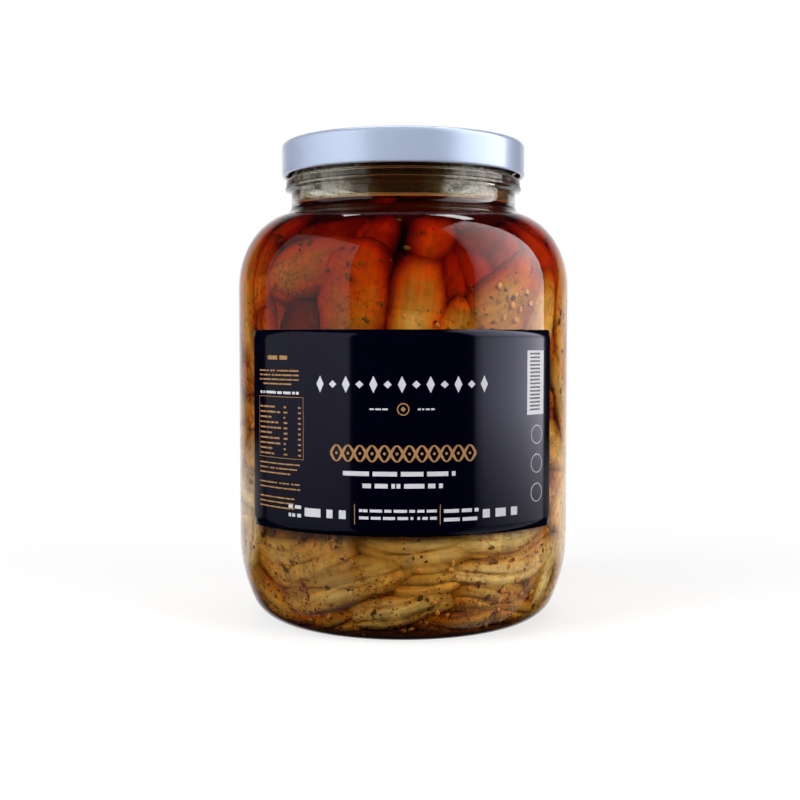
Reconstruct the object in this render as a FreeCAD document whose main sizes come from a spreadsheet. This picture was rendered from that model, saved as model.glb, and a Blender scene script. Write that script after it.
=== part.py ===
import FreeCAD, Part

import math
import os

import Sketcher

# A three litre glass jar of eggplant in oil, with a lug lid and a wrap label.
# Millimetres, +Z up. The jar stands on Z = 0, its axis is the Z axis, and the label faces -Y.
# Every outline is drawn in the XZ plane, as distance from the axis and height, and turned about Z.

SIZES = (
    ("jar_height", 220.0, "base to sealing rim"),
    ("body_radius", 77.0, "outside of the straight wall"),
    ("neck_radius", 52.3, "outside of the neck"),
    ("wall", 3.2, "glass thickness of wall, shoulder and neck"),
    ("floor", 4.0, "glass thickness at the middle of the base"),
    ("heel_radius", 69.3, "large arc between wall and foot"),
    ("heel_turn", 24.4, "degrees that the large heel arc turns"),
    ("foot_round", 16.2, "small arc between heel and base"),
    ("bearing_radius", 48.0, "inner edge of the ring that the jar stands on"),
    ("punt_rise", 2.5, "how far the base is pushed up"),
    ("neck_height", 5.5, "straight neck between shoulder and lip"),
    ("shoulder_rise", 34.5, "upright half axis of the shoulder's ellipse"),
    ("shoulder_inset", 1.8, "ellipse centre inside the neck's surface"),
    ("shoulder_turn", 77.0, "degrees of ellipse before the neck's fillet"),
    ("finish_step", 0.3, "threaded finish stands out from the neck"),
    ("rim_round", 1.2, "rounding of the sealing rim"),
    ("bead_drop", 20.3, "rim down to the parting groove"),
    ("bead_height", 3.6, "transfer bead, from groove to top"),
    ("bead_out", 2.2, "bead stands out from the finish"),
    ("bead_round", 1.0, "rounding of the bead's upper edge"),
    ("lip_out", 0.4, "lip under the groove stands out from the bead"),
    ("lip_height", 0.7, "upright face of the lip"),
    ("lip_slope", 1.2, "height of the slope under the lip"),
    ("groove_depth", 0.6, "parting groove, in from the bead"),
    ("groove_width", 0.5, "parting groove, measured upwards"),
    ("thread_drop", 11.0, "rim down to the middle of each thread rib"),
    ("thread_round", 1.2, "radius of a thread rib"),
    ("thread_out", 0.3, "rib centre outside the finish"),
    ("thread_turn", 40.0, "degrees that one rib spans"),
    ("thread_slope", 10.4, "degrees that a rib climbs"),
    ("lid_gap", 3.7, "skirt inside clear of the finish"),
    ("lid_sheet", 0.4, "thickness of the tinplate"),
    ("skirt_depth", 15.45, "top of the lid to the bottom of its curl"),
    ("corner_round", 2.6, "outer corner between skirt and top"),
    ("ring_inset", 1.1, "raised ring reaches in past the rim"),
    ("panel_step", 1.2, "slope between raised ring and panel"),
    ("panel_drop", 1.2, "middle panel below the raised ring"),
    ("curl_round", 1.0, "outer radius of the rolled edge"),
    ("curl_end", 100.0, "degrees at which the rolled edge ends"),
    ("lug_reach", 0.8, "lug stands in from the curl"),
    ("lug_height", 1.2, "height of a lug"),
    ("lug_turn", 12.0, "degrees that one lug spans"),
    ("lug_lead", 13.0, "degrees from a rib's middle to its lug"),
    ("starts", 8, "number of thread ribs and of lugs"),
    ("oil_drop", 30.5, "rim down to the oil"),
    ("label_sheet", 0.15, "thickness of the label"),
    ("label_foot", 9.7, "heel's top up to the label"),
    ("label_head", 19.4, "label up to the shoulder"),
    ("label_left", 58.4, "degrees from the front to the label's left edge"),
    ("label_right", 56.6, "degrees from the front to the label's right edge"),
    ("cut_over", 2.0, "cutting outlines reach this far past what they cut"),
)

doc = FreeCAD.newDocument("jar_of_eggplant_in_oil")
sheet = doc.addObject("Spreadsheet::Sheet", "dims")
for row, (alias, number, meaning) in enumerate(SIZES, start=1):
    sheet.set("A%d" % row, alias)
    sheet.set("B%d" % row, str(number))
    sheet.set("C%d" % row, meaning)
    sheet.setAlias("B%d" % row, alias)
doc.recompute()


def value(formula):
    """The number that a formula in the sheet's names gives."""
    return float(sheet.evalExpression(formula))


# ---- places that more than one piece shares, as formulas in the sheet's names ----

FINISH_RADIUS = "(dims.neck_radius + dims.finish_step)"
MOUTH_RADIUS = "(dims.neck_radius - dims.wall)"
HEEL_COS = "cos(dims.heel_turn * 1 deg)"
HEEL_SIN = "sin(dims.heel_turn * 1 deg)"
HEEL_TOP = f"((dims.heel_radius - dims.foot_round) * {HEEL_SIN} + dims.foot_round)"
HEEL_CENTRE = "(dims.body_radius - dims.heel_radius)"
FOOT_EDGE = f"({HEEL_CENTRE} + (dims.heel_radius - dims.foot_round) * {HEEL_COS})"
GROOVE = "(dims.jar_height - dims.bead_drop)"
NECK_FOOT = f"({GROOVE} - dims.lip_height - dims.lip_slope - dims.neck_height)"
OIL_LEVEL = "(dims.jar_height - dims.oil_drop)"
LID_TOP = "(dims.jar_height + dims.lid_sheet)"
LID_RADIUS = f"({FINISH_RADIUS} + dims.lid_gap + dims.lid_sheet)"
CURL_CENTRE = f"({LID_RADIUS} - dims.curl_round)"
CURL_HEIGHT = f"({LID_TOP} - dims.skirt_depth + dims.curl_round)"


def shoulder(inset):
    """Formulas of the shoulder, inset into the glass: the ellipse's centre and its two half axes,
    the fillet between ellipse and neck, and how far up each of the two arcs reaches."""
    cos_turn = "cos(dims.shoulder_turn * 1 deg)"
    sin_turn = "sin(dims.shoulder_turn * 1 deg)"
    centre = "(dims.neck_radius - dims.shoulder_inset)"
    level = f"(dims.body_radius - {inset} - {centre})"
    upright = f"(dims.shoulder_rise - {inset})"
    join_across = f"({centre} + {level} * {cos_turn})"
    length = f"sqrt(({upright} * {cos_turn}) ^ 2 + ({level} * {sin_turn}) ^ 2)"
    normal_across = f"({upright} * {cos_turn} / {length})"
    normal_up = f"({level} * {sin_turn} / {length})"
    fillet = f"(({join_across} - dims.neck_radius + {inset}) / (1 - {normal_across}))"
    return centre, join_across, fillet, f"{upright} * {sin_turn}", f"{fillet} * {normal_up}"


SHOULDER_BASE = f"({NECK_FOOT} - {shoulder('0')[3]} - {shoulder('0')[4]})"

# ---- drawing and turning outlines ----


def arc_between(start, end, radius, turn, long_way=False):
    """A circular arc from start to end. turn is 1 for anticlockwise and -1 for clockwise."""
    chord = end - start
    middle = (start + end) * 0.5
    aside = FreeCAD.Vector(-chord.y, chord.x, 0).normalize()
    reach = math.sqrt(max(radius**2 - (chord.Length / 2) ** 2, 0))
    side = -turn if long_way else turn
    centre = middle + aside * (reach * side)
    first, last = (start, end) if turn > 0 else (end, start)
    angles = [math.atan2(p.y - centre.y, p.x - centre.x) for p in (first, last)]
    circle = Part.Circle(centre, FreeCAD.Vector(0, 0, 1), radius)
    return Part.ArcOfCircle(circle, angles[0], angles[1])


def upright_ellipse_arc(start, end, centre):
    """An arc that leaves the outer end of an ellipse's level axis and runs anticlockwise to end."""
    level = start.x - centre.x
    part_of_level = (end.x - centre.x) / level
    upright = (end.y - centre.y) / math.sqrt(1 - part_of_level**2)
    if upright >= level:
        long_end = centre + FreeCAD.Vector(0, upright, 0)
        short_end = centre - FreeCAD.Vector(level, 0, 0)
    else:
        long_end = centre + FreeCAD.Vector(level, 0, 0)
        short_end = centre + FreeCAD.Vector(0, upright, 0)
    ellipse = Part.Ellipse(long_end, short_end, centre)
    arc = Part.ArcOfEllipse(ellipse, ellipse.parameter(start), ellipse.parameter(end))
    return arc, "Vertical" if upright >= level else "Horizontal"


def bind(sketch, kind, where, formula):
    """Adds one driving constraint, tied to the sheet."""
    index = sketch.addConstraint(Sketcher.Constraint(kind, *where, value(formula)))
    sketch.setExpression(f"Constraints[{index}]", formula)


def place_point(sketch, point, axis, kind, formula):
    """Holds one coordinate of a point: on the axis where the formula is 0, else at a distance."""
    if formula == "0":
        sketch.addConstraint(Sketcher.Constraint("PointOnObject", *point, axis))
    else:
        bind(sketch, kind, (-1, 1, *point), formula)


def draw_outline(sketch, corners):
    """Draws a closed outline. A corner is (across, up) and then the edge to the next corner:
    nothing for a straight line, "arc", radius, turn[, long_way], or
    "ellipse", centre across, centre up."""
    points = [FreeCAD.Vector(value(c[0]), value(c[1]), 0) for c in corners]
    ends = []
    for corner, start, end in zip(corners, points, points[1:] + points[:1]):
        kind = corner[2] if len(corner) > 2 else "line"
        forward = (1, 2)
        if kind == "line":
            edge = sketch.addGeometry(Part.LineSegment(start, end), False)
        elif kind == "arc":
            arc = arc_between(start, end, value(corner[3]), *corner[4:])
            edge = sketch.addGeometry(arc, False)
            bind(sketch, "Radius", (edge,), corner[3])
            forward = (1, 2) if corner[4] > 0 else (2, 1)
        else:
            centre = FreeCAD.Vector(value(corner[3]), value(corner[4]), 0)
            arc, long_axis = upright_ellipse_arc(start, end, centre)
            edge = sketch.addGeometry(arc, False)
            sketch.exposeInternalGeometry(edge)
            sketch.addConstraint(Sketcher.Constraint(long_axis, edge + 1))
            bind(sketch, "DistanceX", (-1, 1, edge, 3), corner[3])
            bind(sketch, "DistanceY", (-1, 1, edge, 3), corner[4])
        ends.append((edge, *forward))
    for (edge, _, last), (following, first, _) in zip(ends, ends[1:] + ends[:1]):
        sketch.addConstraint(Sketcher.Constraint("Coincident", edge, last, following, first))
    for corner, (edge, first, _) in zip(corners, ends):
        place_point(sketch, (edge, first), -2, "DistanceX", corner[0])
        place_point(sketch, (edge, first), -1, "DistanceY", corner[1])


def upright_sketch(body, name, corners):
    """A sketch in the body's own XZ plane, with one closed outline."""
    sketch = body.newObject("Sketcher::SketchObject", name)
    planes = {plane.Role: plane for plane in body.Origin.OriginFeatures}
    sketch.AttachmentSupport = (planes["XZ_Plane"], "")
    sketch.MapMode = "FlatFace"
    draw_outline(sketch, corners)
    return sketch


def turned(body, kind, name, corners, formula="360"):
    """A PartDesign Revolution or Groove of an outline about the Z axis."""
    sketch = upright_sketch(body, f"{name}_outline", corners)
    feature = body.newObject(f"PartDesign::{kind}", name)
    feature.Profile = sketch
    feature.ReferenceAxis = (sketch, ["V_Axis"])
    feature.Angle = value(formula)
    if formula != "360":
        feature.setExpression("Angle", formula)
    doc.recompute()
    return feature


# ---- glass jar ----


def dome_radius(rise, reach):
    """Radius of a shallow dome that is level at the axis."""
    return f"(({reach}) ^ 2 + ({rise}) ^ 2) / (2 * ({rise}))"


def side_outline(inset):
    """Corners from the foot up to where the neck starts, inset into the glass from outside."""
    centre, join_across, fillet, ellipse_up, fillet_up = shoulder(inset)
    heel = f"(dims.heel_radius - {inset})"
    heel_across = f"{HEEL_CENTRE} + {heel} * {HEEL_COS}"
    heel_up = f"{HEEL_TOP} - {heel} * {HEEL_SIN}"
    return [
        (FOOT_EDGE, inset, "arc", f"dims.foot_round - {inset}", 1),
        (heel_across, heel_up, "arc", heel, 1),
        (f"dims.body_radius - {inset}", HEEL_TOP),
        (f"dims.body_radius - {inset}", SHOULDER_BASE, "ellipse", centre, SHOULDER_BASE),
        (join_across, f"{SHOULDER_BASE} + {ellipse_up}", "arc", fillet, -1),
        (f"dims.neck_radius - {inset}", f"{SHOULDER_BASE} + {ellipse_up} + {fillet_up}"),
    ]


def cavity_outline():
    """The space inside the glass, carried on past the open mouth."""
    floor_up = "(dims.punt_rise + dims.floor)"
    dome = dome_radius(f"{floor_up} - dims.wall", FOOT_EDGE)
    above = "dims.jar_height + dims.cut_over"
    floor = [("0", floor_up, "arc", dome, -1)]
    mouth = [(MOUTH_RADIUS, above), ("0", above)]
    return floor + side_outline("dims.wall") + mouth


def glass_outline():
    """The jar's outside, closed along the axis and across the rim."""
    bead = f"({FINISH_RADIUS} + dims.bead_out)"
    lip = f"{bead} + dims.lip_out"
    bead_top = f"({GROOVE} + dims.bead_height)"
    base = [
        ("0", "dims.punt_rise", "arc", dome_radius("dims.punt_rise", "dims.bearing_radius"), -1),
        ("dims.bearing_radius", "0"),
    ]
    neck_ring = [
        ("dims.neck_radius", f"{GROOVE} - dims.lip_height - dims.lip_slope"),
        (lip, f"{GROOVE} - dims.lip_height"),
        (lip, GROOVE),
        (f"{bead} - dims.groove_depth", GROOVE),
        (f"{bead} - dims.groove_depth", f"{GROOVE} + dims.groove_width"),
        (bead, f"{GROOVE} + dims.groove_width"),
        (bead, f"{bead_top} - dims.bead_round", "arc", "dims.bead_round", 1),
        (f"{bead} - dims.bead_round", bead_top),
        (FINISH_RADIUS, bead_top),
        (FINISH_RADIUS, "dims.jar_height"),
        ("0", "dims.jar_height"),
    ]
    side = side_outline("0")
    return base + side + neck_ring


def edges_at_height(shape, height):
    """Names of the level edges at one height."""
    names = []
    for index, edge in enumerate(shape.Edges, start=1):
        box = edge.BoundBox
        if max(abs(box.ZMin - height), abs(box.ZMax - height)) < 1e-4:
            names.append(f"Edge{index}")
    return names


def make_glass():
    """The blown body with its cavity, rings and rounded rim, before its threads."""
    body = doc.addObject("PartDesign::Body", "glass_body")
    turned(body, "Revolution", "glass_outside", glass_outline())
    hollow = turned(body, "Groove", "glass_cavity", cavity_outline())
    rim = body.newObject("PartDesign::Fillet", "sealing_rim")
    rim.Base = (hollow, edges_at_height(hollow.Shape, value("dims.jar_height")))
    rim.Radius = value("dims.rim_round")
    rim.setExpression("Radius", "dims.rim_round")
    doc.recompute()
    return body


def make_thread_rib(index):
    """One of the sloping ribs that a lug runs under, as part of a tilted ring."""
    rib = doc.addObject("Part::Torus", f"thread_rib_{index + 1}")
    rib.setExpression("Radius1", f"{FINISH_RADIUS} + dims.thread_out")
    rib.setExpression("Radius2", "dims.thread_round")
    rib.setExpression("Angle3", "dims.thread_turn")
    around = FreeCAD.Rotation(FreeCAD.Vector(0, 0, 1), index * 360 / value("dims.starts"))
    tilt = FreeCAD.Rotation(FreeCAD.Vector(1, 0, 0), value("dims.thread_slope"))
    back = FreeCAD.Rotation(FreeCAD.Vector(0, 0, 1), -value("dims.thread_turn") / 2)
    rib.Placement = FreeCAD.Placement(FreeCAD.Vector(), around * tilt * back)
    rib.setExpression("Placement.Base.z", "dims.jar_height - dims.thread_drop")
    return rib


def make_jar():
    """Glass and threads as the one piece that they are."""
    glass = make_glass()
    ribs = [make_thread_rib(index) for index in range(round(value("dims.starts")))]
    jar = doc.addObject("Part::MultiFuse", "jar")
    jar.Label = "jar"
    jar.Shapes = [glass] + ribs
    return jar


# ---- oil, up to its level, face to face with the glass ----


def make_oil():
    """What fills the jar, as one solid."""
    body = doc.addObject("PartDesign::Body", "oil")
    body.Label = "oil"
    turned(body, "Revolution", "oil_fill", cavity_outline())
    beyond = f"{MOUTH_RADIUS} + dims.body_radius"
    above = "dims.jar_height + 2 * dims.cut_over"
    empty = [("0", OIL_LEVEL), (beyond, OIL_LEVEL), (beyond, above), ("0", above)]
    turned(body, "Groove", "oil_surface", empty)
    return body


# ---- tinplate lid ----


def lid_outline():
    """Sheet of one thickness: panel, raised ring, corner, skirt and the edge rolled inwards."""
    ring = f"({MOUTH_RADIUS} - dims.ring_inset)"
    panel = f"{ring} - dims.panel_step"
    corner = f"{LID_RADIUS} - dims.corner_round"
    corner_up = f"{LID_TOP} - dims.corner_round"
    under = f"({LID_TOP} - dims.lid_sheet)"
    inner_curl = "(dims.curl_round - dims.lid_sheet)"
    end_cos = "cos(dims.curl_end * 1 deg)"
    end_sin = "sin(dims.curl_end * 1 deg)"
    inside = [
        ("0", f"{under} - dims.panel_drop"),
        (panel, f"{under} - dims.panel_drop"),
        (ring, under),
        (corner, under, "arc", "dims.corner_round - dims.lid_sheet", -1),
        (f"{LID_RADIUS} - dims.lid_sheet", corner_up),
        (f"{LID_RADIUS} - dims.lid_sheet", CURL_HEIGHT, "arc", inner_curl, -1, True),
    ]
    rolled_end = [
        (f"{CURL_CENTRE} + {inner_curl} * {end_cos}", f"{CURL_HEIGHT} + {inner_curl} * {end_sin}"),
        (
            f"{CURL_CENTRE} + dims.curl_round * {end_cos}",
            f"{CURL_HEIGHT} + dims.curl_round * {end_sin}",
            "arc",
            "dims.curl_round",
            1,
            True,
        ),
    ]
    outside = [
        (LID_RADIUS, CURL_HEIGHT),
        (LID_RADIUS, corner_up, "arc", "dims.corner_round", 1),
        (corner, LID_TOP),
        (ring, LID_TOP),
        (panel, f"{LID_TOP} - dims.panel_drop"),
        ("0", f"{LID_TOP} - dims.panel_drop"),
    ]
    return inside + rolled_end + outside


def lug_outline():
    """Cross-section of a lug, which runs into the curl by the sheet's thickness."""
    root = f"{CURL_CENTRE} - dims.curl_round + dims.lid_sheet"
    tip = f"{CURL_CENTRE} - dims.curl_round - dims.lug_reach"
    low = f"{CURL_HEIGHT} - dims.lug_height / 2"
    high = f"{CURL_HEIGHT} + dims.lug_height / 2"
    return [(tip, low), (root, low), (root, high), (tip, high)]


def make_lid():
    """The lid with its ring of lugs, turned so that each lug lies under a thread rib."""
    body = doc.addObject("PartDesign::Body", "lid")
    body.Label = "lid"
    turned(body, "Revolution", "lid_sheet_metal", lid_outline())
    lug = turned(body, "Revolution", "lug", lug_outline(), "dims.lug_turn")
    lug.Midplane = True
    lugs = body.newObject("PartDesign::PolarPattern", "lugs")
    lugs.Originals = [lug]
    lugs.Axis = (lug.Profile[0], ["V_Axis"])
    lugs.Angle = 360
    lugs.Occurrences = round(value("dims.starts"))
    body.Tip = lugs
    body.Placement.Rotation = FreeCAD.Rotation(FreeCAD.Vector(0, 0, 1), value("dims.lug_lead"))
    return body


# ---- label ----


def make_label():
    """Paper wrapped round the front of the straight wall."""
    body = doc.addObject("PartDesign::Body", "label")
    body.Label = "label"
    outer = "dims.body_radius + dims.label_sheet"
    low = f"{HEEL_TOP} + dims.label_foot"
    high = f"{SHOULDER_BASE} - dims.label_head"
    strip = [("dims.body_radius", low), (outer, low), (outer, high), ("dims.body_radius", high)]
    turned(body, "Revolution", "label_strip", strip, "dims.label_left + dims.label_right")
    left_edge = -90 - value("dims.label_left")
    body.Placement.Rotation = FreeCAD.Rotation(FreeCAD.Vector(0, 0, 1), left_edge)
    return body


# ---- build, check and write ----

PIECES = (make_jar(), make_oil(), make_lid(), make_label())
doc.recompute()

for item in doc.Objects:
    if {"Invalid", "Error"} & set(item.State):
        raise RuntimeError(f"{item.Label} did not build: {item.State}")
for piece in PIECES:
    if piece.Shape.isNull() or not piece.Shape.isValid() or len(piece.Shape.Solids) != 1:
        raise RuntimeError(f"{piece.Label} is not one valid solid")

os.makedirs("parts", exist_ok=True)
for piece in PIECES:
    piece.Shape.exportStep(f"parts/{piece.Label}.step")
    box = piece.Shape.BoundBox
    print(
        f"{piece.Label}: {piece.Shape.Volume / 1000:.2f} cm3,",
        f"X {box.XMin:.2f} {box.XMax:.2f}",
        f"Y {box.YMin:.2f} {box.YMax:.2f}",
        f"Z {box.ZMin:.2f} {box.ZMax:.2f}",
    )
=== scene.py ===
"""A glass jar of eggplant in oil: the looks of every piece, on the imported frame."""

import random
from math import asin, atan2, cos, degrees, hypot, pi, radians, sin, sqrt, tan

import bmesh
import bpy
import numpy as np
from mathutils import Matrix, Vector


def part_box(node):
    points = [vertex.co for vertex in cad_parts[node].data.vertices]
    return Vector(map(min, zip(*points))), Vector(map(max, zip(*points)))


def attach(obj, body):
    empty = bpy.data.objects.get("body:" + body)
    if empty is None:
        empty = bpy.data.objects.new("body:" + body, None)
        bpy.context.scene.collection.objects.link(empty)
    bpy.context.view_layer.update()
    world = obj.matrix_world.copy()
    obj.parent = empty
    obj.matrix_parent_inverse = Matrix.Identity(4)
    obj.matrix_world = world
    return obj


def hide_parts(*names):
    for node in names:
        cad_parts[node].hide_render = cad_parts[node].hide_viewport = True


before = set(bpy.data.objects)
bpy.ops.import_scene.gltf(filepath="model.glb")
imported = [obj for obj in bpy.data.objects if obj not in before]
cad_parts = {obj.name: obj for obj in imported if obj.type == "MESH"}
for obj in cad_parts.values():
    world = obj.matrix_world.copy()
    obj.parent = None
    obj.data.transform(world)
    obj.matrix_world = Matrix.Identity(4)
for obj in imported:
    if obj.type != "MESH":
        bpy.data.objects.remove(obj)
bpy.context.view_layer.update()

MM = 0.001
SEED = 7

# ---- sizes: the large ones from the frame, the small ones in millimetres ----

_, jar_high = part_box("jar")
lid_low, lid_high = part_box("lid")
_, oil_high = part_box("oil")
label_low, label_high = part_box("label")

BODY_RADIUS = jar_high[0] / MM
JAR_HEIGHT = jar_high[2] / MM
LID_TOP = lid_high[2] / MM
LID_FOOT = lid_low[2] / MM
LID_RADIUS = lid_high[0] / MM
OIL_LEVEL = oil_high[2] / MM
LABEL_FOOT = label_low[2] / MM
LABEL_HEAD = label_high[2] / MM
LABEL_LEFT = degrees(asin(label_low[0] / MM / BODY_RADIUS))
LABEL_RIGHT = degrees(asin(label_high[0] / MM / BODY_RADIUS))

WALL = 3.2
NECK_RADIUS = 52.3
MOUTH_RADIUS = NECK_RADIUS - WALL
FINISH_RADIUS = NECK_RADIUS + 0.3
HEEL_RADIUS, HEEL_TURN, FOOT_ROUND = 69.3, radians(24.4), 16.2
BEARING_RADIUS, PUNT_RISE, FLOOR = 48.0, 2.5, 4.0
FLOOR_RISE = PUNT_RISE + FLOOR - WALL
SHOULDER_RISE, SHOULDER_INSET, SHOULDER_TURN = 34.5, 1.8, radians(77.0)
GROOVE_Z = JAR_HEIGHT - 20.3
NECK_FOOT_Z = GROOVE_Z - 0.7 - 1.2 - 5.5
BEAD_RADIUS = FINISH_RADIUS + 2.2
THREAD_Z, THREAD_ROUND, THREAD_OUT = JAR_HEIGHT - 11.0, 1.2, 0.3
THREAD_TURN, THREAD_SLOPE, STARTS = 40.0, 10.4, 8
LID_SHEET, LID_CORNER, CURL_ROUND = 0.4, 2.6, 1.0
LID_RING, PANEL_DROP, SKIRT_DROP = MOUTH_RADIUS - 1.1, 1.2, 3.2
# The step up to the lid's raised ring: out from LID_RING, and down from the lid's top.
RING_STEP = ((-2.2, PANEL_DROP), (-1.6, 1.1), (-0.8, 0.55), (-0.2, 0.12), (0.5, 0.0))
LUG_REACH, LUG_HEIGHT, LUG_TURN, LUG_LEAD = 0.8, 1.2, 12.0, 13.0
INTO_WALL, ROUND_STEPS = 0.3, 256
# The heap: its top, the rise from row to row, the height where its two pieces meet, the depth of
# a slice's folds, how far the front reaches (degrees), and the heights that the label hides.
HEAP_TOP, ROW_RISE, PARTING_Z, FOLD_DEPTH = OIL_LEVEL - 8, 17, 95, 1.5
FRONT_REACH, HIDDEN_LOW, HIDDEN_HIGH = 68, 56, 126
# The middle of the heap, a near-black stand-in for the shade deep in the heap: how far in from the
# glass it lies, its foot and its top.
CORE_INSET, CORE_FOOT, CORE_TOP = 15, 7.5, OIL_LEVEL - 6
# The bed of spice: where it leaves the glass, its rim and middle, its depth behind the glass.
BED_EDGE_Z, BED_RIM_Z, BED_TOP_Z, BED_DEPTH = 6.4, 8.4, 9.0, 0.35
# The film on the neck ends at the first of these heights, in metres, and is whole at the second.
DRAINED_LOW, DRAINED_HIGH = 0.1915, 0.1935
# Heights of the print's main marks, the braid's half length and links, and the table's frame.
FRIEZE_Z, EMBLEM_Z, BRAID_Z, BRAID_HALF, BRAID_LINKS = 111, 100.8, 82.4, 31, 12
TABLE = (-73.5, -44.5, 78.6, 105.1)
# Lamps and camera, in metres and degrees.
AIM_HEIGHT, FLOOR_SIZE = 0.11, 12
CAMERA_LENS, CAMERA_SHIFT, CAMERA_TIP = 54.81, -0.004, 2.894
CAMERA_PLACE = (0, -0.5774, 0.12996)


# ---- outlines: distance from the axis and height, in millimetres ----


def arc(centre, radius, first, last, steps):
    """Points on a circular arc, from one angle in degrees to another."""
    angles = np.radians(np.linspace(first, last, steps))
    return [(centre[0] + radius * cos(a), centre[1] + radius * sin(a)) for a in angles]


def run(start, end, steps):
    """Evenly spaced points on a straight line, without its end."""
    return [
        (start[0] + (end[0] - start[0]) * i / steps, start[1] + (end[1] - start[1]) * i / steps)
        for i in range(steps)
    ]


def shoulder_sizes(inset):
    """Centre, half axes, fillet and the normal where it starts, at one depth in the glass."""
    centre = NECK_RADIUS - SHOULDER_INSET
    level = BODY_RADIUS - inset - centre
    upright = SHOULDER_RISE - inset
    length = hypot(upright * cos(SHOULDER_TURN), level * sin(SHOULDER_TURN))
    normal = (upright * cos(SHOULDER_TURN) / length, level * sin(SHOULDER_TURN) / length)
    join = centre + level * cos(SHOULDER_TURN)
    fillet = (join - NECK_RADIUS + inset) / (1 - normal[0])
    return centre, level, upright, fillet, normal


_, _, outer_upright, outer_fillet, outer_normal = shoulder_sizes(0)
SHOULDER_Z = NECK_FOOT_Z - outer_upright * sin(SHOULDER_TURN) - outer_fillet * outer_normal[1]
HEEL_Z = (HEEL_RADIUS - FOOT_ROUND) * sin(HEEL_TURN) + FOOT_ROUND
HEEL_CENTRE = BODY_RADIUS - HEEL_RADIUS
FOOT_EDGE = HEEL_CENTRE + (HEEL_RADIUS - FOOT_ROUND) * cos(HEEL_TURN)


def side(inset):
    """From the foot up to the neck, this deep in the glass."""
    centre, level, upright, fillet, normal = shoulder_sizes(inset)
    turn = degrees(HEEL_TURN)
    foot = arc((FOOT_EDGE, FOOT_ROUND), FOOT_ROUND - inset, -90, -turn, 18)
    heel = arc((HEEL_CENTRE, HEEL_Z), HEEL_RADIUS - inset, -turn, 0, 14)[1:]
    wall = run((BODY_RADIUS - inset, HEEL_Z), (BODY_RADIUS - inset, SHOULDER_Z), 30)[1:]
    angles = np.linspace(0, SHOULDER_TURN, 34)
    shoulder = [
        (centre + level * cos(a), SHOULDER_Z + upright * sin(a)) for a in angles
    ]
    lean = degrees(atan2(normal[1], normal[0]))
    fillet_centre = (
        NECK_RADIUS - inset + fillet,
        SHOULDER_Z + upright * sin(SHOULDER_TURN) + fillet * normal[1],
    )
    neck_arc = arc(fillet_centre, fillet, lean - 180, -180, 14)[1:]
    return foot + heel + wall + shoulder + neck_arc


def dome(rise, reach, foot, steps=10):
    """A shallow dome from the axis out to its foot."""
    radius = (reach**2 + rise**2) / (2 * rise)
    points = []
    for i in range(steps):
        across = reach * i / steps
        points.append((across, foot + rise - radius + sqrt(radius**2 - across**2)))
    return points


def glass_outside():
    """Underside, side, neck, lip, groove, bead and finish, up to the rim."""
    bead_top = GROOVE_Z + 3.6
    lip = BEAD_RADIUS + 0.4
    ring = (
        run((NECK_RADIUS, NECK_FOOT_Z + 0.5), (NECK_RADIUS, GROOVE_Z - 2.1), 3)
        + [(NECK_RADIUS + 0.3, GROOVE_Z - 1.9)]
        + arc((lip - 0.5, GROOVE_Z - 0.7), 0.5, -70, 0, 5)
        + arc((lip - 0.25, GROOVE_Z - 0.25), 0.25, 0, 90, 4)
        + [(BEAD_RADIUS - 0.5, GROOVE_Z), (BEAD_RADIUS - 0.6, GROOVE_Z + 0.25)]
        + arc((BEAD_RADIUS - 0.3, GROOVE_Z + 0.8), 0.3, -90, 0, 4)
        + arc((BEAD_RADIUS - 1.0, bead_top - 1.0), 1.0, 0, 90, 8)
        + [(FINISH_RADIUS + 0.5, bead_top), (FINISH_RADIUS + 0.15, bead_top + 0.15)]
    )
    finish = run((FINISH_RADIUS, bead_top + 0.5), (FINISH_RADIUS, JAR_HEIGHT - 1.2), 40)
    rim = arc((FINISH_RADIUS - 1.2, JAR_HEIGHT - 1.2), 1.2, 0, 90, 8)
    base = dome(PUNT_RISE, BEARING_RADIUS, 0) + [(BEARING_RADIUS, 0), (52.0, 0)]
    return base + side(0) + ring + finish + rim


def cavity():
    """Inside of the glass from the floor's middle up to the rim."""
    rim = arc((MOUTH_RADIUS + 1.2, JAR_HEIGHT - 1.2), 1.2, 180, 90, 8)
    straight = run(side(WALL)[-1], rim[0], 12)[1:]
    return dome(FLOOR_RISE, FOOT_EDGE, WALL) + side(WALL) + straight + rim


def with_level(points, height):
    """The same points with one added where the outline passes a height."""
    for i, (low, high) in enumerate(zip(points, points[1:])):
        if low[1] < height < high[1] and low[0] > MOUTH_RADIUS - 1:
            share = (height - low[1]) / (high[1] - low[1])
            across = low[0] + (high[0] - low[0]) * share
            return points[: i + 1] + [(across, height)] + points[i + 1 :]
    return points


# ---- mesh helpers ----


def make_object(name, vertices, faces, materials, smooth=True):
    """A mesh object from vertices in millimetres, riding on the jar."""
    mesh = bpy.data.meshes.new(name)
    mesh.from_pydata((np.asarray(vertices) * MM).tolist(), [], faces)
    mesh.validate()
    mesh.update()
    if smooth:
        mesh.shade_smooth()
    piece = bpy.data.objects.new(name, mesh)
    bpy.context.scene.collection.objects.link(piece)
    for material in materials:
        mesh.materials.append(material)
    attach(piece, "root")
    return piece


def merge(parts):
    """One list of vertices and one of faces from many such pairs."""
    vertices, faces = [], []
    for more_vertices, more_faces in parts:
        base = len(vertices)
        vertices.extend(more_vertices)
        faces.extend(tuple(q + base for q in face) for face in more_faces)
    return vertices, faces


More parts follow.
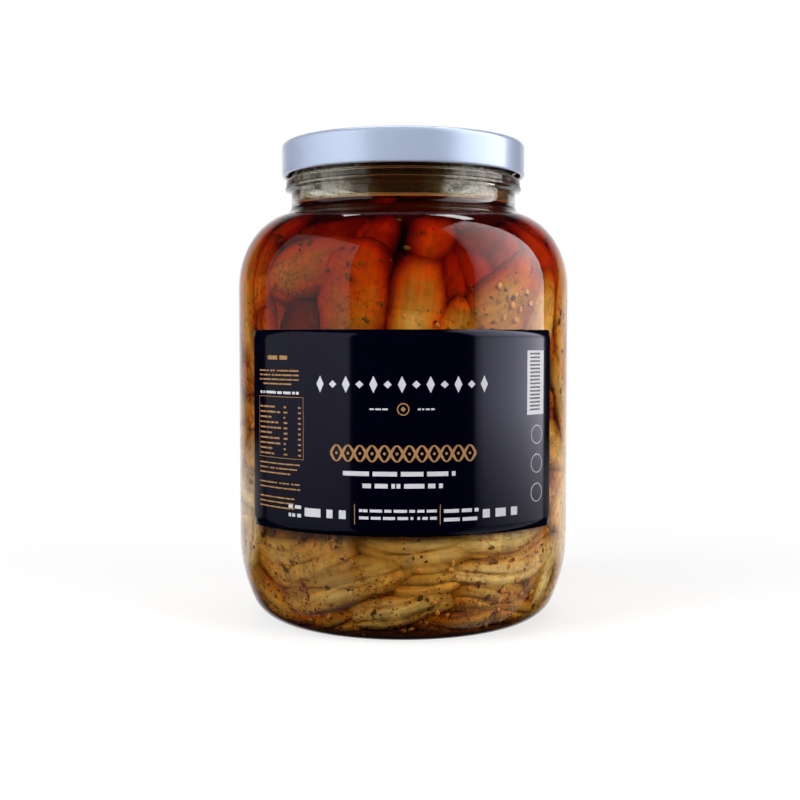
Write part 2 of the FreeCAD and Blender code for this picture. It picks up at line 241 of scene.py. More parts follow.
def revolve(points, bulge=None, steps=ROUND_STEPS):
    """Vertices and faces of an outline turned about Z, with poles where it meets the axis."""
    vertices, rings, faces = [], [], []
    for across, up in points:
        if across < 1e-6:
            rings.append([len(vertices)])
            vertices.append((0, 0, up))
            continue
        ring = []
        for i in range(steps):
            turn = 2 * pi * i / steps
            radius = across + (bulge(turn, across, up) if bulge else 0)
            ring.append(len(vertices))
            vertices.append((radius * cos(turn), radius * sin(turn), up))
        rings.append(ring)
    rows = []
    for row, (low, high) in enumerate(zip(rings, rings[1:])):
        for i in range(steps):
            j = (i + 1) % steps
            if len(low) == 1:
                face = (low[0], high[i], high[j])[::-1]
            elif len(high) == 1:
                face = (low[i], low[j], high[0])
            else:
                face = (low[i], low[j], high[j], high[i])
            faces.append(face)
            rows.append(row)
    return vertices, faces, rows


# ---- materials ----


def empty_tree(owner):
    """The node tree of a material, lamp or world, with nothing in it."""
    owner.use_nodes = True
    owner.node_tree.nodes.clear()
    return owner.node_tree


def new_material(name):
    """A material and its empty node tree."""
    material = bpy.data.materials.new(name)
    return material, empty_tree(material)


def node(tree, kind, inputs=None, **settings):
    """Adds a node, sets its properties, and sets or links its inputs."""
    made = tree.nodes.new(kind)
    for key, setting in settings.items():
        setattr(made, key, setting)
    for key, given in (inputs or {}).items():
        if isinstance(given, bpy.types.NodeSocket):
            tree.links.new(given, made.inputs[key])
        else:
            made.inputs[key].default_value = given
    return made


def ramp(tree, fac, stops):
    """A colour ramp with its stops as (place, colour)."""
    made = node(tree, "ShaderNodeValToRGB", {"Fac": fac})
    elements = made.color_ramp.elements
    while len(elements) < len(stops):
        elements.new(0.5)
    for element, (place, colour) in zip(elements, stops):
        element.position = place
        element.color = (*colour, 1)
    return made.outputs["Color"]


def greys(stops):
    """Stops for a ramp from (place, level)."""
    return [(place, (level,) * 3) for place, level in stops]


def mix(tree, fac, first, second):
    """A colour mix."""
    made = node(tree, "ShaderNodeMix", data_type="RGBA")
    for index, given in ((0, fac), (6, first), (7, second)):
        if isinstance(given, bpy.types.NodeSocket):
            tree.links.new(given, made.inputs[index])
        else:
            made.inputs[index].default_value = given if index == 0 else (*given, 1)
    return made.outputs[2]


def noise(tree, vector, scale, detail=3.0, rough=0.5, distortion=0.0):
    """Cloud noise as a number round 0.5."""
    inputs = {"Vector": vector, "Scale": scale, "Detail": detail, "Roughness": rough}
    return node(tree, "ShaderNodeTexNoise", {**inputs, "Distortion": distortion}).outputs["Fac"]


def remap(tree, number, low, high, to_low=0.0, to_high=1.0, smooth=False):
    """Maps a range of a number to another, and keeps it there."""
    inputs = {"Value": number, "From Min": low, "From Max": high}
    inputs.update({"To Min": to_low, "To Max": to_high})
    kind = "SMOOTHSTEP" if smooth else "LINEAR"
    return node(tree, "ShaderNodeMapRange", inputs, interpolation_type=kind).outputs[0]


def calc(tree, operation, first, second, third=0.0):
    """One step of arithmetic."""
    inputs = {0: first, 1: second, 2: third}
    return node(tree, "ShaderNodeMath", inputs, operation=operation).outputs[0]


def times(tree, first, second):
    """A product."""
    return calc(tree, "MULTIPLY", first, second)


def scaled(tree, colour, factor):
    """A colour made lighter or darker."""
    inputs = {0: colour, "Scale": factor}
    return node(tree, "ShaderNodeVectorMath", inputs, operation="SCALE").outputs[0]


def principled(tree, **inputs):
    """The usual surface; underscores in the names stand for spaces."""
    inputs = {key.replace("_", " "): given for key, given in inputs.items()}
    return node(tree, "ShaderNodeBsdfPrincipled", inputs).outputs[0]


def clear(tree, colour, roughness, bend, **more):
    """A surface that light goes through, bent by an index."""
    more.update(Base_Color=colour, Roughness=roughness, IOR=bend, Transmission_Weight=1.0)
    return principled(tree, **more)


def blend(tree, share, first, second):
    """A mix of two surfaces."""
    return node(tree, "ShaderNodeMixShader", {0: share, 1: first, 2: second}).outputs[0]


def transparent(tree):
    """Nothing at all."""
    return node(tree, "ShaderNodeBsdfTransparent").outputs[0]


def glow(tree, strength):
    """White light."""
    inputs = {"Color": (1, 1, 1, 1), "Strength": strength}
    return node(tree, "ShaderNodeEmission", inputs).outputs[0]


def bumped(tree, height, strength, distance):
    """Fine relief."""
    inputs = {"Height": height, "Strength": strength, "Distance": distance}
    return node(tree, "ShaderNodeBump", inputs).outputs[0]


def finish_with(tree, shader, volume=None):
    """Ends a material."""
    out = node(tree, "ShaderNodeOutputMaterial", {"Surface": shader})
    if volume is not None:
        tree.links.new(volume, out.inputs["Volume"])


def here(tree):
    """Place on the object, in metres."""
    return node(tree, "ShaderNodeTexCoord").outputs["Object"]


def part_of(tree, place, axis):
    """One number of a place."""
    return node(tree, "ShaderNodeSeparateXYZ", {0: place}).outputs[axis]


def carried(tree, name, output):
    """Numbers that the mesh carries."""
    return node(tree, "ShaderNodeAttribute", attribute_name=name).outputs[output]


def through_for_lamps(tree, shader):
    """Lets lamps shine straight through a clear surface, which would otherwise cast a shadow."""
    path = node(tree, "ShaderNodeLightPath").outputs["Is Shadow Ray"]
    return blend(tree, path, shader, transparent(tree))


def glass_material():
    """Clear glass, green where it is thick, at the foot and the bead."""
    material, tree = new_material("jar_glass")
    place = here(tree)
    stops = (
        (0.0, (0.12, 0.21, 0.11)),
        (0.025, (0.42, 0.53, 0.36)),
        (0.055, (0.95, 0.965, 0.94)),
        (0.85, (0.985, 0.99, 0.98)),
        (0.875, (0.94, 0.95, 0.90)),
        (0.93, (0.86, 0.88, 0.80)),
    )
    tint = ramp(tree, remap(tree, part_of(tree, place, "Z"), 0.0, 0.22), stops)
    waves = bumped(tree, noise(tree, place, 38.0, 1.0), 0.05, 0.002)
    finish_with(tree, through_for_lamps(tree, clear(tree, tint, 0.0, 1.5, Normal=waves)))
    return material


def wet_glass_material():
    """The inner wall where oil lies on it: oil and glass bend light alike, so it hardly shows."""
    material, tree = new_material("wet_glass")
    finish_with(tree, transparent(tree))
    return material


def film_and_glare_material():
    """The dry inside of the neck: oil and moisture cling to it in patches. The whitish patches
    at the front left and front right, brightest low on the neck, are partly a painted reflection
    of the side lamps.
    """
    material, tree = new_material("neck_film_and_glare")
    place = here(tree)
    height = part_of(tree, place, "Z")
    wander = calc(tree, "MULTIPLY_ADD", noise(tree, place, 90.0, 2.0), 0.016, -0.008)
    across = calc(tree, "ADD", part_of(tree, place, "X"), wander)
    # Where the film lies, by X: whitish at the front left and front right, partly as painted
    # reflection; dark brown in the middle.
    stops = ((0.0, 0.0), (0.06, 0.66), (0.20, 0.80), (0.40, 0.02))
    stops += ((0.58, 0.02), (0.72, 0.70), (0.84, 0.70), (0.92, 0.04))
    patch = ramp(tree, remap(tree, across, -0.05, 0.05), greys(stops))
    spots = remap(tree, noise(tree, place, 130.0, 6.0, 0.65), 0.40, 0.62, 0.10, 1.3)
    # Brighter low on the neck: painted highlight.
    spots = times(tree, spots, remap(tree, height, 0.193, 0.204, 1.0, 0.7))
    thin = remap(tree, patch, 0.0, 0.5, 0.22, 0.0)
    film_and_glare_cover = calc(tree, "ADD", times(tree, patch, spots), thin)
    drained = remap(tree, height, DRAINED_LOW, DRAINED_HIGH)
    patch, film_and_glare_cover = times(tree, patch, drained), times(tree, film_and_glare_cover, drained)
    stops = ((0.0, (0.36, 0.13, 0.03)), (0.35, (0.50, 0.38, 0.17)), (0.7, (0.88, 0.87, 0.76)))
    oily = clear(tree, ramp(tree, patch, stops), 0.02, 1.5)
    stops = ((0.0, (0.13, 0.045, 0.008)), (0.35, (0.30, 0.21, 0.08)), (0.7, (0.97, 0.95, 0.84)))
    speck = remap(tree, noise(tree, place, 700.0, 2.0), 0.66, 0.70, 0.0, 0.85)
    film_and_glare_colour = mix(tree, speck, ramp(tree, patch, stops), (0.05, 0.03, 0.01))
    through = node(tree, "ShaderNodeBsdfTranslucent", {"Color": film_and_glare_colour}).outputs[0]
    damp = blend(tree, 0.5, principled(tree, Base_Color=film_and_glare_colour, Roughness=0.25), through)
    finish_with(tree, through_for_lamps(tree, blend(tree, film_and_glare_cover, oily, damp)))
    return material


def oil_material():
    """Red-orange oil that darkens with depth. Its side is set in the glass, so it doesn't bend."""
    material, tree = new_material("oil")
    surface = clear(tree, (1, 1, 1, 1), 0.0, 1.0, Specular_IOR_Level=0.0)
    inputs = {"Color": (0.90, 0.60, 0.04, 1), "Density": 270.0}
    body = node(tree, "ShaderNodeVolumeAbsorption", inputs).outputs[0]
    finish_with(tree, through_for_lamps(tree, surface), body)
    return material


def clear_material(name, colour, roughness, bend):
    """A clear liquid of one colour."""
    material, tree = new_material(name)
    finish_with(tree, through_for_lamps(tree, clear(tree, (*colour, 1), roughness, bend)))
    return material


def flesh_material():
    """Eggplant steeped in oil. Each slice brings its own numbers: how steeped it is, where its
    rim and skin are, and places that run along its grain. Towards its rim each slice is
    darkened, as painted shade."""
    material, tree = new_material("eggplant")
    place = here(tree)
    tint = node(tree, "ShaderNodeSeparateColor", {0: carried(tree, "tint", "Color")}).outputs
    grain = carried(tree, "grain", "Vector")
    slice_seed = {0: grain, 1: (0.0, 0.0, 1.0)}
    slice_seed = node(tree, "ShaderNodeVectorMath", slice_seed, operation="MULTIPLY").outputs[0]
    broad = noise(tree, place, 55.0, 3.0)
    blotch = noise(tree, place, 190.0, 4.0, 0.6)
    along = node(tree, "ShaderNodeMapping", {"Vector": grain, "Scale": (38.0, 430.0, 1.0)})
    fibre = noise(tree, along.outputs[0], 1.0, 4.0, 0.6, 0.5)
    steeped = calc(tree, "MULTIPLY_ADD", broad, 0.42, tint["Red"])
    steeped = calc(tree, "MULTIPLY_ADD", blotch, 0.26, steeped)
    stops = (
        (0.0, (0.74, 0.63, 0.34)),
        (0.16, (0.70, 0.52, 0.17)),
        (0.34, (0.60, 0.30, 0.04)),
        (0.50, (0.62, 0.125, 0.008)),
        (0.66, (0.50, 0.050, 0.006)),
        (0.82, (0.22, 0.014, 0.004)),
        (1.0, (0.08, 0.007, 0.004)),
    )
    colour = ramp(tree, calc(tree, "SUBTRACT", steeped, 0.34), stops)
    patches = noise(tree, place, 95.0, 3.0, 0.6)
    own = node(tree, "ShaderNodeTexWhiteNoise", {"Vector": slice_seed}, noise_dimensions="3D")
    tone = remap(tree, fibre, 0.3, 0.7, 0.86, 1.12)
    tone = times(tree, tone, remap(tree, blotch, 0.32, 0.68, 0.86, 1.12))
    tone = times(tree, tone, remap(tree, patches, 0.35, 0.65, 0.86, 1.12))
    tone = times(tree, tone, remap(tree, own.outputs["Value"], 0.0, 1.0, 0.68, 1.18))
    colour = scaled(tree, colour, tone)
    where = remap(tree, noise(tree, place, 60.0, 3.0), 0.44, 0.56)
    stain = remap(tree, noise(tree, place, 430.0, 5.0, 0.75), 0.50, 0.62, 0.0, 0.75)
    colour = mix(tree, times(tree, where, stain), colour, (0.19, 0.060, 0.026))
    cells = node(tree, "ShaderNodeTexVoronoi", {"Vector": place, "Scale": 300.0})
    dot = remap(tree, cells.outputs["Distance"], 0.16, 0.26, 1.0, 0.0)
    chance = node(tree, "ShaderNodeSeparateColor", {0: cells.outputs["Color"]}).outputs["Red"]
    dot = times(tree, dot, remap(tree, chance, 0.88, 0.92, 0.0, 0.7))
    colour = mix(tree, dot, colour, (0.19, 0.075, 0.022))
    # Darker towards each slice's rim: painted shade where the slice curves away into the gaps.
    colour = scaled(tree, colour, remap(tree, tint["Green"], 0.72, 1.0, 1.0, 0.42))
    colour = mix(tree, tint["Blue"], colour, (0.070, 0.014, 0.028))
    pulp = noise(tree, place, 330.0, 4.0, 0.6)
    surface = principled(
        tree,
        Base_Color=colour,
        Roughness=0.5,
        Specular_IOR_Level=0.03,
        Subsurface_Weight=0.3,
        Subsurface_Radius=(0.006, 0.0025, 0.0008),
        Subsurface_Scale=0.5,
        Normal=bumped(tree, calc(tree, "MULTIPLY_ADD", pulp, 1.6, fibre), 0.45, 0.0006),
    )
    finish_with(tree, surface)
    return material


def plain_material(name, colour, roughness, specular=0.3, uneven=0.25, scale=220.0, **more):
    """A surface of one colour with some unevenness."""
    material, tree = new_material(name)
    shade = remap(tree, noise(tree, here(tree), scale), 0.3, 0.7, 1 - uneven, 1 + uneven)
    more.update(Base_Color=scaled(tree, colour, shade), Roughness=roughness)
    finish_with(tree, principled(tree, Specular_IOR_Level=specular, **more))
    return material


def seed_material():
    """A flat orange seed with a paler rim."""
    material, tree = new_material("seed")
    stops = ((0.0, (0.78, 0.28, 0.04)), (0.55, (0.80, 0.36, 0.07)), (0.9, (0.76, 0.46, 0.17)))
    shade = remap(tree, noise(tree, here(tree), 260.0), 0.3, 0.7, 0.65, 1.1)
    colour = scaled(tree, ramp(tree, carried(tree, "rim", "Fac"), stops), shade)
    finish_with(tree, principled(tree, Base_Color=colour, Roughness=0.4, Specular_IOR_Level=0.05))
    return material


# ---- glass, oil, lid ----


def thread_bulge(turn, across, up):
    """How far a thread rib lifts the finish at one place."""
    if not FINISH_RADIUS - 0.01 <= across <= FINISH_RADIUS + 0.2:
        return 0
    if not GROOVE_Z + 3.7 < up < JAR_HEIGHT - 1.0:
        return 0
    lift = 0
    slope = tan(radians(THREAD_SLOPE))
    for start in range(STARTS):
        off = (degrees(turn) - start * 360 / STARTS + 180) % 360 - 180
        if abs(off) > THREAD_TURN / 2 + 3:
            continue
        middle = THREAD_Z + FINISH_RADIUS * sin(radians(off)) * slope
        away = abs(up - middle) / (THREAD_ROUND * 1.15)
        if away < 1:
            fade = min(1, (THREAD_TURN / 2 + 3 - abs(off)) / 5)
            lift = max(lift, (THREAD_ROUND + THREAD_OUT) * sqrt(1 - away**2) * fade)
    return lift


def make_glass():
    """The jar: outer face and dry inner face are glass, the wetted inner face hardly shows."""
    outside = glass_outside()
    line = outside + with_level(cavity(), OIL_LEVEL)[::-1]
    vertices, faces, rows = revolve(line, thread_bulge)
    materials = [glass_material(), wet_glass_material(), film_and_glare_material()]
    jar = make_object("glass_jar", vertices, faces, materials)
    for polygon, row in zip(jar.data.polygons, rows):
        if row >= len(outside):
            polygon.material_index = 1 if line[row][1] <= OIL_LEVEL + 1e-6 else 2
    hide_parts("jar")


def make_oil():
    """Oil up to its level, reaching just into the wall."""
    reach = WALL - INTO_WALL
    wetted = dome(FLOOR_RISE, FOOT_EDGE, reach) + side(reach)
    wetted = [p for p in with_level(wetted, OIL_LEVEL) if p[1] <= OIL_LEVEL]
    top = [(wetted[-1][0] * i / 8, OIL_LEVEL) for i in range(7, -1, -1)]
    vertices, faces, _ = revolve(wetted + top, steps=128)
    oil = make_object("oil_fill", vertices, faces, [oil_material()])
    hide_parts("oil")


def make_oil_top():
    """The free face of the oil with its climb up the glass."""
    edge = next(p[0] for p in with_level(cavity(), OIL_LEVEL) if abs(p[1] - OIL_LEVEL) < 1e-6)
    climb = [(edge - 3, 0.12), (edge - 1.5, 0.45), (edge - 0.7, 0.9), (edge + 0.15, 1.6)]
    points = [(edge * i / 20, 0) for i in range(18)] + climb
    points = [(across, OIL_LEVEL + 0.02 + up) for across, up in points]
    vertices, faces, _ = revolve(points, steps=128)
    material = clear_material("oil_top", (0.95, 0.62, 0.3), 0.0, 1.47)
    top = make_object("oil_face", vertices, [f[::-1] for f in faces], [material])


def lid_material():
    """White lacquer on tinplate, with a cool cast."""
    coat = {"Coat_Weight": 0.6, "Coat_Roughness": 0.1, "Metallic": 0.35}
    return plain_material("white_lacquer", (0.53, 0.62, 0.82), 0.32, 0.5, 0.02, 60.0, **coat)


def lug_bulge(turn, across, up):
    """How far a lug stands in from the rolled edge, as a negative lift."""
    if across > LID_RADIUS - CURL_ROUND or abs(up - LID_FOOT - CURL_ROUND) > LUG_HEIGHT / 2:
        return 0
    pitch = 360 / STARTS
    off = (degrees(turn) - LUG_LEAD + pitch / 2) % pitch - pitch / 2
    return -LUG_REACH if abs(off) < LUG_TURN / 2 else 0


def make_lid():
    """Panel, raised ring, corner, skirt and rolled edge, with lugs."""
    top = LID_TOP
    curl = (LID_RADIUS - CURL_ROUND, LID_FOOT + CURL_ROUND)
    corner = (LID_RADIUS - LID_CORNER, top - LID_CORNER)
    step = [(LID_RING + out, top - down) for out, down in RING_STEP]
    inner_radius, curl_foot = LID_RADIUS - LID_SHEET, curl[1] + 0.5
    outside = (
        [(0, top - PANEL_DROP), (LID_RING - 20, top - PANEL_DROP)]
        + step
        + run((LID_RING + 1.5, top), (corner[0], top), 4)
        + arc(corner, LID_CORNER, 90, 0, 12)
        + run((LID_RADIUS, top - SKIRT_DROP), (LID_RADIUS, curl[1]), 8)
        + arc(curl, CURL_ROUND, 0, -260, 22)
    )
    inside = (
        arc(curl, CURL_ROUND - LID_SHEET, -260, 0, 22)
        + run((inner_radius, curl_foot), (inner_radius, top - SKIRT_DROP), 8)
        + arc(corner, LID_CORNER - LID_SHEET, 0, 90, 12)
        + [(across, up - LID_SHEET) for across, up in step[::-1]]
        + [(0, top - PANEL_DROP - LID_SHEET)]
    )
    vertices, faces, rows = revolve(outside + inside, lug_bulge)
    lacquer = plain_material("inner_lacquer", (0.20, 0.09, 0.03), 0.35, 0.4, 0.1)
    lid = make_object("lid_cap", vertices, [f[::-1] for f in faces], [lid_material(), lacquer])
    for polygon, row in zip(lid.data.polygons, rows):
        polygon.material_index = 1 if row >= len(outside) + 20 else 0
    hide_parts("lid")


# ---- the inner wall as a place to lay things on ----

wall_line = np.array(dome(FLOOR_RISE, FOOT_EDGE, WALL, 24) + side(WALL))
wall_steps = np.hypot(*np.diff(wall_line, axis=0).T)
wall_length = np.concatenate([[0], np.cumsum(wall_steps)])
wall_slope = np.gradient(wall_line, wall_length, axis=0)
wall_slope /= np.hypot(*wall_slope.T)[:, None]


def length_at(height):
    """How far along the inner wall's outline a height is reached, above the floor."""
    outer = wall_line[:, 0] > FOOT_EDGE - 0.1
    return float(np.interp(height, wall_line[outer, 1], wall_length[outer]))


def on_wall(turn, along, depth):
    """Points this far along the inner outline and this deep in from the glass."""
    across = np.interp(along, wall_length, wall_line[:, 0])
    up = np.interp(along, wall_length, wall_line[:, 1])
    slope_across = np.interp(along, wall_length, wall_slope[:, 0])
    slope_up = np.interp(along, wall_length, wall_slope[:, 1])
    radius = across - depth * slope_up
    height = up + depth * slope_across
    return np.stack([radius * np.sin(turn), -radius * np.cos(turn), height], axis=-1)


def radius_at(along):
    """Inner radius at a length along the outline."""
    return np.interp(along, wall_length, wall_line[:, 0])


def slice_outline(rng, around, ragged):
    """The corners of a ragged oval of unit size: how far along it and across it they lie."""
    square = 2.0 + 0.4 * ragged
    waves = ((2, 0.06), (3, 0.06), (5, 0.045), (8, 0.025), (13, 0.018))
    waves = [(k, rng.uniform(0, 6.3), rng.uniform(0.3, 1) * most * ragged) for k, most in waves]
    angle = np.linspace(0, 2 * np.pi, around, endpoint=False)
    edge = 1 + sum(size * np.sin(k * angle + phase) for k, phase, size in waves)
    round_ones = (np.cos(angle), np.sin(angle))
    return [np.sign(one) * np.abs(one) ** (2 / square) * edge for one in round_ones]


def slice_faces(sizes, rings):
    """Faces between a slice's rings of corners, of the sizes given: first those of its front
    from the middle out, then those of its back, which ends at the front's rim."""
    starts = np.concatenate([[0], np.cumsum(sizes)]).tolist()
    last = len(sizes) - 1
    faces = []
    for low, high in [(k, k + 1) for k in range(last) if k != rings] + [(last, rings)]:
        around = sizes[high]
        for i in range(around):
            j = (i + 1) % around
            face = (starts[low] + i, starts[high] + i, starts[high] + j, starts[low] + j)
            if sizes[low] == 1:
                face = (starts[low], starts[high] + i, starts[high] + j)
            faces.append(face if low < rings else face[::-1])
    return faces


def make_slice(rng, spot, redness, skin=0.0, fine=1.0, ragged=1.0):
    """One slice pressed against the glass, as vertices, faces, colour numbers and grain places.
    spot is (degrees from the front, height, length, width, lean, depth, thickness)."""
    turn, height, length, width, lean, depth, thick = spot
    around, rings = int(36 * fine), int(8 * fine)
    start, spin = length_at(height), radians(lean)
    taper = rng.uniform(-0.3, 0.3) * ragged
    bend = rng.uniform(-0.14, 0.14) * length * ragged
    unit_x, unit_y = slice_outline(rng, around, ragged)
    limits = ((-0.16, 0.16), (-0.3, 0.3), (0, 6.3), (0.15, 0.45))
    dents = [[rng.uniform(*pair) for pair in limits] for _ in range(4)]
    pitch, swerve, first = rng.uniform(5, 9), rng.uniform(0.5, 1.5), rng.uniform(0, 6.3)
    seed = rng.uniform(0, 10)
    high_up = min(1, max(0, (height - PARTING_Z) / 50))
    front = np.sin(np.linspace(0, 1, rings + 1) * np.pi / 2)
    back = np.sin(np.linspace(0, 1, 4) * np.pi / 2)[:-1]
    vertices, colours, grains = [], [], []
    for on_front, share in [(True, s) for s in front] + [(False, s) for s in back]:
        x = unit_x * share * length / 2
        y = unit_y * share * width / 2 * (1 - taper * unit_x * share)
        if on_front:
            relief = thick / 2 * (1 - sqrt(max(0, 1 - share**2.8)))
            dent = sum(s * np.sin(fx * x + fy * y + phase) for fx, fy, phase, s in dents)
            groove = np.abs(np.sin(np.pi * y / pitch + swerve * np.sin(x / 10 + first)))
            dent = dent + FOLD_DEPTH * (1 - 0.7 * high_up) * (1 - groove) ** 3
            away = depth + relief + np.maximum(dent * (1 - share**4), 0.3 - depth)
        else:
            away = depth + thick - thick / 2 * (1 - sqrt(1 - share**2)) + 0 * x
        y_bent = y + bend * ((unit_x * share) ** 2 - 0.4)
        along = start + x * sin(spin) + y_bent * cos(spin)
        along = np.clip(along, 2, wall_length[-1] - 0.5)
        level = x * cos(spin) - y_bent * sin(spin)
        swing = radians(turn) + level / np.maximum(radius_at(along), 20)
        peel = skin * np.clip((unit_y * share - 0.45) * 3, 0, 1)
        # The rim share also darkens the slice towards its edge in the material: painted shade.
        rim = share if on_front else 1.0
        upward = 0.16 * high_up * (along - start) / (length / 2)
        steeped = redness + (0.03 + 0.26 * high_up) * rim**2.5 + upward
        keep = 1 if share == 0 else around
        vertices.append(on_wall(swing, along, away)[:keep])
        colours.append(np.stack([0 * x + steeped, 0 * x + rim, peel], axis=-1)[:keep])
        grains.append(np.stack([x * MM, y * MM, 0 * x + seed], axis=-1)[:keep])
    faces = slice_faces([len(v) for v in vertices], rings)
    return np.concatenate(vertices), faces, np.concatenate(colours), np.concatenate(grains)


def join_slices(name, slices, material):
    """All slices of one kind as one mesh, with their colour numbers and grain."""
    vertices, faces = merge(s[:2] for s in slices)
    piece = make_object(name, vertices, faces, [material])
    colours, grains = (np.concatenate([s[k] for s in slices]) for k in (2, 3))
    colours = np.pad(colours, ((0, 0), (0, 1)), constant_values=1)
    layer = piece.data.color_attributes.new("tint", "FLOAT_COLOR", "POINT")
    layer.data.foreach_set("color", colours.astype(np.float32).ravel())
    layer = piece.data.attributes.new("grain", "FLOAT_VECTOR", "POINT")
    layer.data.foreach_set("vector", grains.astype(np.float32).ravel())


# Slices at the front, listed one by one: degrees from the front, height, length, width, lean from
# level, depth behind the glass, thickness, how red, and how much skin shows on one edge.
FRONT_SLICES = (
    (4.5, 141, 50, 26, 84, 0.5, 13, 0.34, 0.0),
    (10.5, 175, 36, 23, 78, 4.2, 12, 0.62, 0.0),
    (-9, 177, 36, 19, 80, 5.5, 11, 0.74, 0.0),
    (-17, 149, 56, 38, 84, 2.4, 11, 0.42, 0.0),
    (-36, 160, 54, 29, 15, 2.3, 9, 0.40, 0.0),
    (-43, 141, 44, 30, 62, 5.5, 9, 0.76, 0.9),
    (-68, 150, 74, 23, 90, 0.9, 9, 0.30, 0.0),
    (-58, 158, 46, 20, 82, 2.0, 10, 0.46, 0.0),
    (-56, 130, 40, 22, 84, 1.6, 10, 0.42, 0.7),
    (-38, 131, 40, 26, 70, 2.6, 9, 0.82, 1.0),
    (-30, 178, 48, 24, 26, 6.0, 10, 0.76, 0.0),
    (19, 156, 44, 16, 88, 6.6, 10, 0.66, 0.0),
    (17.5, 136, 24, 18, 70, 1.8, 10, 0.30, 0.0),
    (38, 147, 50, 32, 35, 1.0, 9, 0.30, 0.0),
    (54, 137, 54, 24, 66, 1.2, 9, 0.16, 0.0),
    (33, 173, 44, 24, 8, 6.0, 10, 0.78, 0.0),
    (60, 168, 50, 22, -50, 4.5, 9, 0.66, 0.0),
    (73, 142, 66, 20, 86, 0.8, 9, 0.12, 0.0),
    (-56, 175, 46, 22, 55, 5.0, 9, 0.66, 0.0),
    (-39, 36, 66, 25, 6, 0.7, 10, 0.12, 0.0),
    (-23, 24, 76, 23, 19, 0.3, 10, 0.20, 0.0),
    (4, 42, 58, 20, -3, 0.8, 9, 0.12, 0.0),
    (9, 27, 36, 15, 12, 1.2, 9, 0.14, 0.0),
    (-1, 14, 54, 17, 16, 0.5, 9, 0.08, 0.0),
    (40, 33.5, 84, 15, 7, 0.3, 11, 0.0, 0.0),
    (32, 17, 46, 21, -14, 0.8, 9, 0.22, 0.0),
    (60, 24, 44, 14, 76, 0.3, 12, 0.0, 0.0),
    (34, 46, 64, 16, 4, 0.7, 9, 0.06, 0.0),
    (-58, 18, 52, 21, -24, 1.0, 9, 0.30, 0.0),
    (-66, 40, 46, 20, 60, 0.7, 9, 0.10, 0.0),
    (72, 42, 54, 16, 80, 0.6, 10, 0.04, 0.0),
    (22, 9, 48, 15, 4, 0.9, 8, 0.26, 0.0),
    (44, 10, 42, 15, -7, 0.9, 8, 0.28, 0.0),
    (-26, 9, 46, 14, 6, 0.9, 8, 0.32, 0.0),
    (-48, 10, 40, 14, -8, 0.9, 8, 0.38, 0.0),
)


def pack_slices():
    """Fills the whole wall with overlapping slices, in three layers from the back to the glass.
    The front's outer layer is given in a list, and the top gets a last row round the sides."""
    rng = random.Random(SEED)
    low, high = [], []
    for layer, share in enumerate((1.0, 0.5, 0.0)):
        height = 8.0 + layer * 4
        while height < HEAP_TOP:
            high_up = min(1, max(0, (height - 70) / 90))
            depth = share * 5.0 + 0.5 + 2.6 * high_up**3
            spread = 30 + 10 * (1 - high_up)
            count = max(5, int(2 * pi * radius_at(length_at(height)) / spread))
            first = rng.uniform(0, 360)
            for i in range(count):
                turn = (first + 360 * i / count + rng.uniform(-8, 8) + 180) % 360 - 180
                length = rng.uniform(46, 74) * (1 - 0.25 * high_up)
                lean = rng.gauss(8, 24) if rng.random() > high_up else rng.gauss(80, 22)
                up = min(max(height + rng.uniform(-6, 6), 7), HEAP_TOP)
                red = 0.10 + 0.60 * high_up**1.8 + rng.uniform(-0.1, 0.1)
                skin = rng.uniform(0.5, 1) if rng.random() < 0.14 else 0
                at_front = abs(turn) < FRONT_REACH and not HIDDEN_LOW < up < HIDDEN_HIGH
                deep = depth + rng.uniform(-0.2, 1.4)
                if at_front and share == 0:
                    if up > PARTING_Z:
                        continue
                    deep += 3.0
                    # Redder and darker than the slices in front of them: painted shade in the
                    # gaps.
                    red += 0.22
                spot = (turn, up, length, rng.uniform(17, 25), lean, deep, rng.uniform(8, 11))
                (low if up < PARTING_Z else high).append(make_slice(rng, spot, red, skin))
            height += ROW_RISE
    for *spot, red, skin in FRONT_SLICES:
        kind, ragged = (low, 1.0) if spot[1] < PARTING_Z else (high, 0.7)
        kind.append(make_slice(rng, spot, red, skin, 1.6, ragged))
    for turn in range(FRONT_REACH, 300, 29):
        spot = (turn + rng.uniform(-5, 5), 178, 52, 25, rng.uniform(-10, 25), 4.5, 10)
        high.append(make_slice(rng, spot, 0.72))
    return low, high


def lump_form():
    """A small ball to be roughened: corners, faces and rim numbers."""
    form = bmesh.new()
    bmesh.ops.create_icosphere(form, subdivisions=1, radius=0.5)
    corners = np.array([v.co[:] for v in form.verts])
    faces = [tuple(v.index for v in f.verts) for f in form.faces]
    form.free()
    return corners, faces, np.zeros(len(corners))


def lens_form(around=10):
    """A flat seed: a lens with a raised middle and a thin rim."""
    corners, rims = [(0, 0, 0.5)], [0.0]
    for share, up in ((0.5, 0.46), (0.8, 0.26), (1.0, 0.05), (0.8, -0.3)):
        for i in range(around):
            a = 2 * pi * i / around
            corners.append((0.5 * share * cos(a), 0.5 * share * sin(a), up))
            rims.append(share)
    corners.append((0, 0, -0.45))
    rims.append(0.5)
    faces = []
    for i in range(around):
        j = (i + 1) % around
        faces.append((0, 1 + i, 1 + j))
        for ring in range(3):
            a, b = 1 + ring * around, 1 + (ring + 1) * around
            faces.append((a + i, b + i, b + j, a + j))
        faces.append((1 + 3 * around + i, len(corners) - 1, 1 + 3 * around + j))
    return np.array(corners), faces, np.array(rims)


